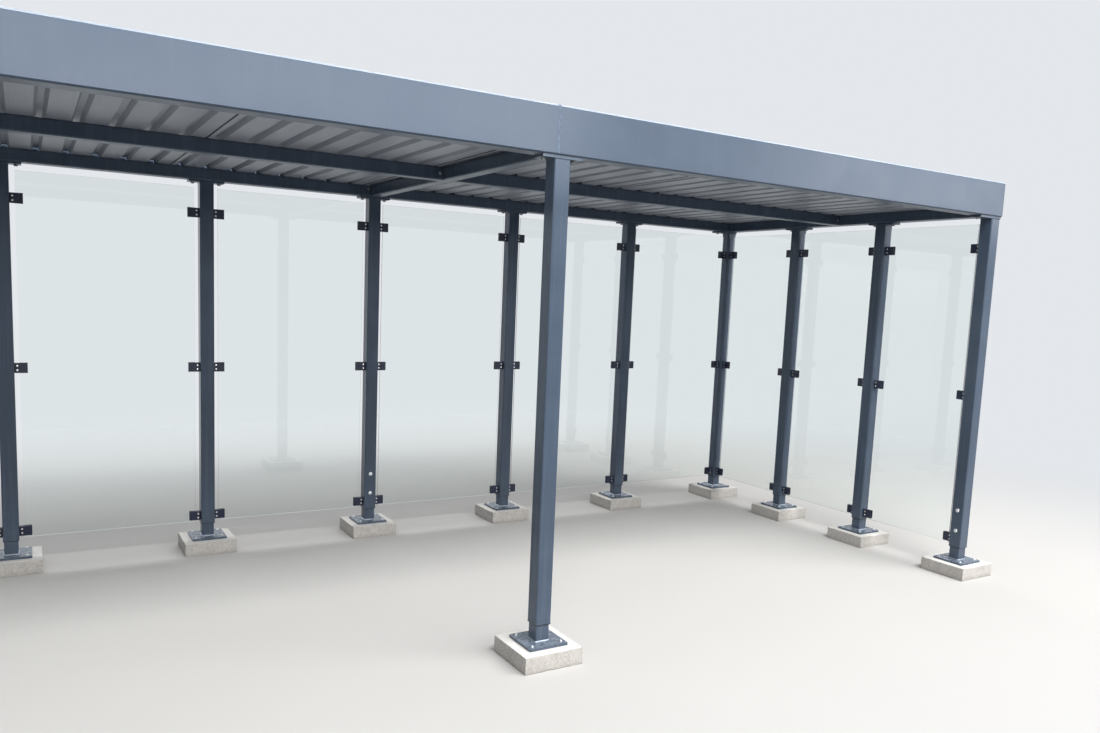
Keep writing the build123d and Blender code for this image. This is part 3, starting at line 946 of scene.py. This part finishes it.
# %% Where the clamps stand, as (x, y, angle about Z)
rear_x = [x for x, _ in rear_posts]
end_y = [-half_depth, -side_line, side_line, half_depth]
clamp_rows = {
    "rear": [(x + half_post, half_depth, 0) for x in rear_x[:-1]]
    + [(x - half_post, half_depth, half_turn) for x in rear_x[1:]],
}
for side, x in (("left", -half_length), ("right", half_length)):
    clamp_rows[side] = [(x, y + half_post, quarter) for y in end_y[:-1]]
    clamp_rows[side] += [(x, y - half_post, -quarter) for y in end_y[1:]]
print({row: len(spots) * len(clamp_heights) for row, spots in clamp_rows.items()})

# %% Set out castings, pads and screws
screw_from_post = 14 * mm
half_screw_spacing = 12 * mm
inner_side = {"rear": (0, -1), "left": (1, 0), "right": (-1, 0)}
screw_places, screw_turns = [], []
for row, spots in clamp_rows.items():
    places = [(x, y, height) for x, y, _ in spots for height in clamp_heights]
    turns = [(0, 0, angle) for _, _, angle in spots for _ in clamp_heights]
    name, replaced = f"{row}_clamp_castings", [f"{row}_glass_clamps"]
    set_out(name, clamp_body, places, turns, clamp_coat, replaces=replaced)
    set_out(f"{row}_clamp_pads", clamp_pads, places, turns, rubber_and_shade_black)
    out = inner_side[row]
    for (x, y, height), (_, _, angle) in zip(places, turns):
        x += screw_from_post * math.cos(angle) + out[0] * half_clamp
        y += screw_from_post * math.sin(angle) + out[1] * half_clamp
        for rise in (-half_screw_spacing, half_screw_spacing):
            screw_places.append((x, y, height + rise))
            screw_turns.append(turn_for[out])
set_out("clamp_screws", screw_shape, screw_places, screw_turns, stainless, seed=13)

# %% [markdown]
# ## The fascia
# The fascia is folded sheet: an upright face, a bend at the top and a flange turned inwards.
# The bend matters, because its round edge is what catches the light along the roof line. The
# section is drawn once as points, with the bends as arcs, and then drawn out along each side.
# A point just before and after each bend keeps smooth shading from leaning the flat faces, which
# would spoil what they mirror. At a mitred corner every point of the section stops a little
# sooner or later, by its own distance from the outer face, which is all that a 45 degree cut does.

# %% Fascia section
sheet = 3 * mm
outer_bend = 10 * mm
hem = sheet / 2
beside_bend = 0.5 * mm
flange = 38 * mm
joint_gap = 0.8 * mm
mitre_gap = 0.3 * mm
fascia_low, fascia_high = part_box("front_fascia_left")


def arc(centre, radius, start, end, steps):
    """Points on an arc, as (depth, height), with angles in degrees."""
    angles = [math.radians(start + (end - start) * i / steps) for i in range(steps + 1)]
    return [(centre[0] + radius * math.cos(a), centre[1] + radius * math.sin(a)) for a in angles]


bend_middle = (outer_bend, fascia_high.z - outer_bend)
above_hem = fascia_low.z + hem + beside_bend
below_bend = fascia_high.z - outer_bend - beside_bend
behind_bend = outer_bend + beside_bend
fascia_section = [
    *arc((hem, fascia_low.z + hem), hem, 360, 180, 6),
    (0, above_hem),
    (0, below_bend),
    *arc(bend_middle, outer_bend, 180, 90, 8),
    (behind_bend, fascia_high.z),
    (flange, fascia_high.z),
    (flange, fascia_high.z - sheet),
    (behind_bend, fascia_high.z - sheet),
    *arc(bend_middle, outer_bend - sheet, 90, 180, 8),
    (sheet, below_bend),
    (sheet, above_hem),
]
print("section points", len(fascia_section))


# %% Six lengths of fascia
crease = math.radians(30)


def fascia_length(node, along, inward, mitres):
    """Draw the section out along X, 0, or Y, 1. inward is the way in, and mitres has its two ends."""
    low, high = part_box(node)
    face = (low if inward > 0 else high)[1 - along]
    rings = []
    for end, sign, mitred in ((low[along], 1, mitres[0]), (high[along], -1, mitres[1])):
        ring = []
        for depth, height in fascia_section:
            plan = [end + sign * (depth + mitre_gap if mitred else joint_gap)]
            plan.insert(1 - along, face + inward * depth)
            ring.append((*plan, height))
        rings.append(ring)
    made = joined(node, [shell(rings)])
    made.shade_smooth()
    made.set_sharp_from_angle(angle=crease)
    add_piece(f"{node}_folded", made, coated_sheet, [node])


for row, inward in (("front", 1), ("rear", -1)):
    fascia_length(f"{row}_fascia_left", 0, inward, (True, False))
    fascia_length(f"{row}_fascia_right", 0, inward, (False, True))
for side, inward in (("left", 1), ("right", -1)):
    fascia_length(f"{side}_fascia", 1, inward, (True, True))

# %% [markdown]
# Where two lengths meet end to end, the joint is closed with a bead of grey sealant wiped flat.
# It follows the face and ends on the bend, a hair proud of the paint and never quite even in
# width. Two slow waves of different lengths, added up, make its edges wander.

# %% Sealant
sealant, tree, place = new_material("grey_joint_sealant")
smear = add_node(tree, "ShaderNodeTexNoise", {"Vector": place, "Scale": 1 / (18 * mm), "Detail": 3})
grey = laid_over(tree, "#4D5A6B", "#647184", {"Value": smear, "From Min": 0.4, "From Max": 0.62})
feed = {"Base Color": grey, "Roughness": 0.6, "Specular IOR Level": 0.3}
shader = add_node(tree, "ShaderNodeBsdfPrincipled", feed)
add_node(tree, "ShaderNodeOutputMaterial", {"Surface": shader})

bead_half = 6.5 * mm
bead_proud = 0.4 * mm
bead_step = 6 * mm
bead_edge = 0.4 * bead_proud
under_face = bead_proud + sheet / 2
steps = int((fascia_high.z - outer_bend - fascia_low.z) / bead_step)
bead_path = [(-bead_proud, fascia_low.z + hem + i * bead_step) for i in range(steps)]
bead_path += arc(bend_middle, outer_bend + bead_proud, 180, 110, 5)
long_wander, short_wander = 0.7 * mm, 0.5 * mm
beads = []
for node, inward in (("front_fascia_left", 1), ("rear_fascia_left", -1)):
    low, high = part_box(node)
    face = low.y if inward > 0 else high.y
    rings = []
    for i, (depth, height) in enumerate(bead_path):
        wander = long_wander * math.sin(1.3 * i) + short_wander * math.sin(0.47 * i + inward)
        below = (max(depth + under_face, sheet / 2), min(height, high.z - sheet / 2))
        left, right = high.x - bead_half + wander, high.x + bead_half + 0.5 * wander
        corners = [
            (left, *below),
            (left, depth + bead_edge, height),
            (high.x + 0.3 * wander, depth, height),
            (right, depth + bead_edge, height),
            (right, *below),
        ]
        rings.append([(x, face + inward * d, z) for x, d, z in corners])
    beads.append(shell(rings))
add_piece("fascia_joint_sealant", joined("fascia_joint_sealant", beads), sealant)

# %% [markdown]
# ## Laps and screws of the roof sheet
# Two roof sheets join where one laps over the other's first rib, and a narrow lip of the lower
# sheet runs on under the upper one. From below, that lip's free edge tells the sheets apart, and a
# black rubber strip beside it is painted shade: it draws the fine dark line of shadow along the
# lap. Screws with sealing washers hold the flat pans down on the beams.

# %% Side laps
rib_pitch = 145 * mm
rib_base = 50 * mm
rib_top = 24 * mm
rib_height = 22 * mm
rib_flank = (rib_base - rib_top) / 2
thin_sheet = 0.9 * mm
lip_width = 20 * mm
lip_drop = 1.3 * mm
shade_strip_width = 7 * mm
shade_strip_drop = 1.6 * mm
packed_sheet = 1 * mm
sheet_top = beam_top + packed_sheet
lap_gap = 0.2 * mm
lap_bottom = sheet_top + lap_gap
lap_before, lap_past = 4 * mm, 7 * mm
roof_low, roof_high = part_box("roof_sheet_2")
sheet_nodes = sorted(n for n in nodes if n.startswith("roof_sheet"))
joints = [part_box(n)[1].x for n in sheet_nodes[:-1]]


def along_roof(profile, start, end):
    """Draw a closed (x, z) outline along Y from start to end."""
    return shell([[(x, y, z) for x, z in profile] for y in (start, end)])


laps, lap_shade_strips = [], []
for x in joints:
    over = [
        (x - lap_before, lap_bottom),
        (x, lap_bottom),
        (x + rib_flank, lap_bottom + rib_height),
        (x + rib_flank + rib_top, lap_bottom + rib_height),
        (x + rib_base, lap_bottom),
        (x + rib_base + lap_past, lap_bottom),
    ]
    over += [(u, z + thin_sheet) for u, z in reversed(over)]
    laps.append(along_roof(over, roof_low.y, roof_high.y))
    lip_edge = x - lip_width
    for pieces, low, high, bottom in (
        (laps, lip_edge, x, beam_top - lip_drop),
        (lap_shade_strips, lip_edge - shade_strip_width, lip_edge, beam_top - shade_strip_drop),
    ):
        outline = [(low, bottom), (high, bottom), (high, beam_top), (low, beam_top)]
        pieces.append(along_roof(outline, roof_low.y, roof_high.y))
add_piece("roof_side_laps", joined("roof_side_laps", laps), coil_coat)
# The black strips along the laps are painted shade: the dark line of the lap's shadow
add_piece("roof_sealing_strips", joined("roof_sealing_strips", lap_shade_strips), rubber_and_shade_black)

# %% [markdown]
# ## Dark blocks in the ribs
# Where the sheet crosses a purlin or a beam its ribs leave holes. In the right bay black blocks
# sit in them as painted shade: from below each shows as a dark tooth on the edge, where the hollow
# over the beam is in shade. In the left bay light comes through the holes, so there are none there.

# %% Black blocks in the ribs, painted shade over the beams
shade_block_gap = 0.6 * mm
shade_block_depth = 30 * mm
shade_block_outline = [
    (shade_block_gap, 0),
    (rib_base - shade_block_gap, 0),
    (rib_flank + rib_top - shade_block_gap, rib_height - shade_block_gap),
    (rib_flank + shade_block_gap, rib_height - shade_block_gap),
]
filler_shape = to_copy("filler_shape", along_roof(shade_block_outline, 0, shade_block_depth))
shade_block_inset = 1 * mm
rib_places = []
for node in ("purlin_right", "rear_beam_right"):
    low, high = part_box(node)
    first_rib = math.ceil((low.x - joints[0]) / rib_pitch)
    last_rib = math.floor((high.x - rib_base - joints[0]) / rib_pitch)
    for i in range(first_rib, last_rib + 1):
        rib_places.append((joints[0] + i * rib_pitch, low.y + shade_block_inset, beam_top))
set_out("roof_rib_fillers", filler_shape, rib_places, None, rubber_and_shade_black)

# %% Roofing screws
pan_middle = rib_base + (rib_pitch - rib_base) / 2
roof_left, roof_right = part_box(sheet_nodes[0])[0].x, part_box(sheet_nodes[-1])[1].x
first_pan = joints[0] + pan_middle
first_pan -= rib_pitch * math.floor((first_pan - roof_left) / rib_pitch)
screwed_pans = int((roof_right - first_pan) / rib_pitch) // 2 + 1
screw_places = [
    (first_pan + 2 * i * rib_pitch, y, sheet_top)
    for i in range(screwed_pans)
    for y in (-half_depth, 0.0, half_depth)
]
set_out("roof_screws", roof_screw_shape, screw_places, None, zinc, seed=17)

# %% [markdown]
# ## Floor and background
# A plain pale floor runs far past the shelter. The background's paleness is its own colour, as
# the camera sees it, straight, mirrored and through glass, and it puts no light on the shelter.
# The floor itself is pale as seen, and throws back no more light than paving would.
# Well away from the shelter the floor fades into that same colour, so that no horizon shows.
# The fade grows with the distance past the shelter's own outline, worked out from the place.

# %% Floor
background = "#E4E7EB"
reach_out = 60.0
fade_length = 5.0
floor_mesh = bpy.data.meshes.new("floor")
floor_corners = [(sx * reach_out, sy * reach_out, 0) for sx, sy in ((-1, -1), (1, -1), (1, 1), (-1, 1))]
floor_mesh.from_pydata(floor_corners, [], [(0, 1, 2, 3)])
floor = bpy.data.objects.new("floor", floor_mesh)
bpy.context.scene.collection.objects.link(floor)


def seen_directly(tree):
    """1 for rays from the camera, mirrored rays and rays through glass, 0 for scattered light."""
    path = add_node(tree, "ShaderNodeLightPath").outputs
    seen = in_turn(tree, maths, path["Is Camera Ray"], ("MAXIMUM", path["Is Transmission Ray"]))
    return in_turn(tree, maths, seen, ("MAXIMUM", path["Is Glossy Ray"]))


floor_paint, tree, place = new_material("matt_floor_paint")
patches = add_node(tree, "ShaderNodeTexNoise", {"Vector": place, "Scale": 1 / (1500 * mm), "Detail": 3})
paint = add_node(tree, "ShaderNodeMix", {"Factor": patches, "A": "#BDBBB8", "B": "#C3C1BE"}, **in_colour)
seen = seen_directly(tree)
paint = add_node(tree, "ShaderNodeMix", {"Factor": seen, "A": "#8F8E8D", "B": paint}, **in_colour)
feed = {"Base Color": paint, "Roughness": 0.9, "Specular IOR Level": 0.2}
shader = add_node(tree, "ShaderNodeBsdfPrincipled", feed)
past = in_turn(tree, vector_maths, place, ("ABSOLUTE",), ("SUBTRACT", cad_high), ("MAXIMUM", (0, 0, 0)))
past = in_turn(tree, vector_maths, past, ("LENGTH",))
feed = {"Value": past, "From Min": 0.0, "From Max": fade_length}
fade = add_node(tree, "ShaderNodeMapRange", feed, **smoothly)
fade = in_turn(tree, maths, fade, ("MULTIPLY", seen))
pale = add_node(tree, "ShaderNodeEmission", {"Color": background, "Strength": 1.0})
mixed = add_node(tree, "ShaderNodeMixShader", {0: fade, 1: shader, 2: pale})
add_node(tree, "ShaderNodeOutputMaterial", {"Surface": mixed})
floor_mesh.materials.append(floor_paint)
floor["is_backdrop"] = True
print("floor ready")

# %% World
fill_strength = 0.22
world = bpy.data.worlds.new("pale_studio")
bpy.context.scene.world = world
world.use_nodes = True
tree = world.node_tree
tree.nodes.clear()
fill = add_node(tree, "ShaderNodeBackground", {"Color": "#E4ECF8", "Strength": fill_strength})
backdrop = add_node(tree, "ShaderNodeBackground", {"Color": background, "Strength": 1.0})
mixed = add_node(tree, "ShaderNodeMixShader", {0: seen_directly(tree), 1: fill, 2: backdrop})
add_node(tree, "ShaderNodeOutputWorld", {"Surface": mixed})
print("world ready")

# %% [markdown]
# ## Light
# The shelter was seen on a bright, clouded day with the brightest sky in front of it, so its
# front faces are pale and its side faces dark. Two long strip lamps in front do the same. The
# low one hangs where the fascia mirrors it towards the camera, and above what the glass mirrors.
# The high one lights the front and the tops, draws a line along the fascia's bend, and leaves
# the space under the roof in soft shade. Two more light the left and the back. A lamp's power is
# worked out from the brightness wanted and its area, and its edges fade, so that no hard
# rectangle is mirrored anywhere. The low one is dimmer along a part of its length, since the
# right half of the fascia mirrors a duller patch of sky beside the joint.


# %% Strip lamps
soft_ends, soft_edges = 0.1, 0.14


def strip_lamp(name, place, width, tall, brightness, tilt_down, turn=0, along=((0, 1), (1, 1))):
    """A long lamp that faces the back, tilted down and turned round, both in degrees.

    A brightness of 1 would look white. along lists places from its left end, 0, to its right
    end, 1, with the share of light there.
    """
    data = bpy.data.lights.new(name, "AREA")
    data.shape = "RECTANGLE"
    data.size = width
    data.size_y = tall
    data.energy = brightness * math.pi * width * tall
    data.use_nodes = True
    tree = data.node_tree
    tree.nodes.clear()
    across = add_node(tree, "ShaderNodeNewGeometry").outputs["Parametric"]
    across = add_node(tree, "ShaderNodeSeparateXYZ", {"Vector": across})
    fades = []
    for axis, soft_part in (("X", soft_ends), ("Y", soft_edges)):
        from_edge = in_turn(tree, maths, across.outputs[axis], ("PINGPONG", 0.5))
        feed = {"Value": from_edge, "From Min": 0.0, "From Max": soft_part}
        fades.append(add_node(tree, "ShaderNodeMapRange", feed, **smoothly))
    dimmer = add_node(tree, "ShaderNodeValToRGB", {"Fac": across.outputs["X"]})
    stops = dimmer.color_ramp.elements
    stops[0].position, stops[1].position = along[0][0], along[-1][0]
    for spot, _ in along[1:-1]:
        stops.new(spot)
    for stop, (_, share) in zip(stops, along):
        stop.color = (share, share, share, 1)
    soft = in_turn(tree, maths, fades[0], ("MULTIPLY", fades[1]), ("MULTIPLY", dimmer))
    glow = add_node(tree, "ShaderNodeEmission", {"Strength": soft})
    add_node(tree, "ShaderNodeOutputLight", {"Surface": glow})
    lamp = bpy.data.objects.new(name, data)
    bpy.context.scene.collection.objects.link(lamp)
    lamp.location = place
    lamp.rotation_euler = (math.radians(90 - tilt_down), 0, math.radians(turn))
    lamp.visible_camera = False
    lamp.visible_transmission = False
    print(name, round(data.energy), "W")


sky = ((0, 1), (0.437, 1), (0.452, 0.33), (0.6, 0.33), (0.68, 0.76), (0.8, 0.56), (1, 0.5))
strip_lamp("low_strip", (10.0, -14.0, 5.25), 32.0, 2.8, brightness=6.35, tilt_down=9, along=sky)
strip_lamp("high_strip", (4.0, -6.7, 8.3), 18.0, 4.5, brightness=11.6, tilt_down=49)
strip_lamp("left_strip", (-9.5, -6.5, 3.4), 7.0, 3.6, brightness=2.4, tilt_down=12, turn=-52)
strip_lamp("back_strip", (0.0, 8.0, 7.0), 16.0, 4.0, brightness=4.2, tilt_down=40, turn=180)

# %% [markdown]
# ## Camera
# The camera stands in front of the left bay, a little above eye height, and looks down along the
# shelter to the right. Its place, turn, tilt and focal length were worked out from the shelter's
# own straight lines. A small upward shift stands for the part of the picture that was cut away.

# %% Camera
picture_width = 1100
focal_pixels = 871.1
turn_right = math.radians(31.262)
tilt_down = math.radians(6.710)
roll = math.radians(2.410)
camera_place = Vector((-1.9997, -4.4789, 1.6586))
shift_up = 0.030

forward = Vector((
    math.sin(turn_right) * math.cos(tilt_down),
    math.cos(turn_right) * math.cos(tilt_down),
    -math.sin(tilt_down),
))
level_right = Vector((math.cos(turn_right), -math.sin(turn_right), 0))
level_up = level_right.cross(forward)
right = level_right * math.cos(roll) + level_up * math.sin(roll)
up = level_up * math.cos(roll) - level_right * math.sin(roll)

camera_data = bpy.data.cameras.new("camera")
camera_data.sensor_width = 36.0
camera_data.sensor_fit = "HORIZONTAL"
camera_data.lens = camera_data.sensor_width * focal_pixels / picture_width
camera_data.shift_y = shift_up
camera = bpy.data.objects.new("camera", camera_data)
bpy.context.scene.collection.objects.link(camera)
axes = Matrix((right, up, -forward)).transposed()
camera.matrix_world = Matrix.Translation(camera_place) @ axes.to_4x4()
bpy.context.scene.camera = camera
bpy.context.scene.view_settings.view_transform = "Standard"
print("lens", round(camera_data.lens, 2), "mm")

# %% Write the sizes and finish
low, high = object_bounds()
print("visual size", [round(v, 3) for v in high - low])
